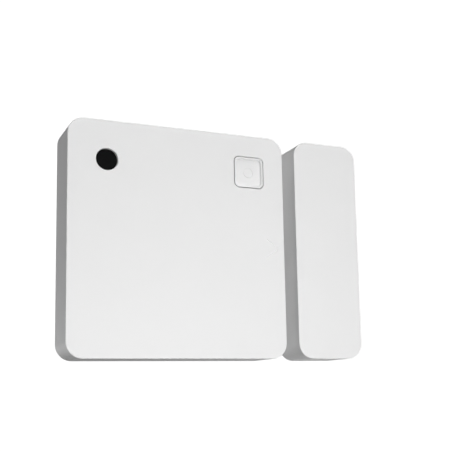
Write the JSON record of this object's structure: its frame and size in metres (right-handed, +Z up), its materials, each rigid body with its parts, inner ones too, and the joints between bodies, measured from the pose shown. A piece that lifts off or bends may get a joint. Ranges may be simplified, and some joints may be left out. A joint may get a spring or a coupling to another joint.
{
  "type": "door contact sensor",
  "caption": "White square door contact sensor with a round smoked window, a square push button and a slim separate magnet unit, both backed with adhesive pads.",
  "frame": {"origin": "middle of the sensor unit's adhesive face, on the surface it is stuck to", "axes": "+X from the sensor unit to the magnet unit, +Y into the surface it is stuck to (the front faces -Y), +Z up"},
  "size_m": [0.0529, 0.0088, 0.0386],
  "materials": {
    "case_white": "fine satin moulded white ABS",
    "button_white": "fine satin moulded white ABS",
    "window_black": "polished smoked black acrylic",
    "board_green": "solder-masked glass epoxy",
    "chip_black": "moulded epoxy",
    "crystal_steel": "plated lid",
    "antenna_ceramic": "unglazed ceramic",
    "passive_ceramic": "fired ceramic",
    "led_resin": "clear resin over a white cup",
    "sensor_resin": "clear resin",
    "switch_black": "moulded nylon",
    "plunger_ivory": "moulded acetal",
    "cradle_black": "moulded nylon",
    "contact_metal": "gold-flashed spring bronze",
    "cell_steel": "bright nickel-plated steel",
    "seal_plastic": "moulded polypropylene",
    "cell_pellet": "pressed powder",
    "tube_glass": "drawn green glass",
    "reed_metal": "tinned nickel iron",
    "foam_tape": "closed-cell acrylic foam tape",
    "magnet_nickel": "bright nickel plate"
  },
  "bodies": {
    "sensor_base": {"rear_cover": "case_white", "adhesive_pad": "foam_tape"},
    "sensor_head": {"front_shell": "case_white", "light_window": "window_black", "circuit_board": "board_green", "radio_chip": "chip_black", "crystals": "crystal_steel", "chip_antenna": "antenna_ceramic", "tilt_sensor": "chip_black", "passive_parts": "passive_ceramic", "status_led": "led_resin", "light_sensor": "sensor_resin", "tact_switch_housing": "switch_black", "battery_cradle": "cradle_black", "positive_contact": "contact_metal", "negative_contact": "contact_metal", "reed_glass": "tube_glass", "reed_leads": "reed_metal"},
    "button": {"button_cap": "button_white", "tact_switch_plunger": "plunger_ivory"},
    "coin_cell": {"cell_can": "cell_steel", "cell_cap": "cell_steel", "cell_seal": "seal_plastic", "cell_filling": "cell_pellet"},
    "reed_contact": {"reed_blade": "reed_metal"},
    "magnet_unit": {"magnet_shell": "case_white", "bar_magnet": "magnet_nickel", "magnet_rear_cover": "case_white", "magnet_adhesive_pad": "foam_tape"}
  },
  "joints": [
    {"name": "head_release", "type": "slide", "parent": "sensor_base", "child": "sensor_head", "axis": [0, -1, 0], "range_m": [0, 0.015]},
    {"name": "button_press", "type": "slide", "parent": "sensor_head", "child": "button", "axis": [0, 1, 0], "range_m": [0, 0.00025], "stiffness_N_per_m": 800, "springref_m": -0.0002},
    {"name": "cell_slide", "type": "slide", "parent": "sensor_head", "child": "coin_cell", "axis": [0, 0, 1], "range_m": [0, 0.009]},
    {"name": "magnet_travel", "type": "slide", "parent": "sensor_base", "child": "magnet_unit", "axis": [1, 0, 0], "range_m": [0, 0.04]},
    {"name": "reed_opening", "type": "hinge", "parent": "sensor_head", "child": "reed_contact", "pos_m": [0.0149, -0.00582, 0.0041], "axis": [-1, 0, 0], "range_deg": [0, 1]}
  ],
  "couplings": [
    {"joint": "reed_opening", "follows": "magnet_travel", "rad_per_m": 0.43}
  ]
}
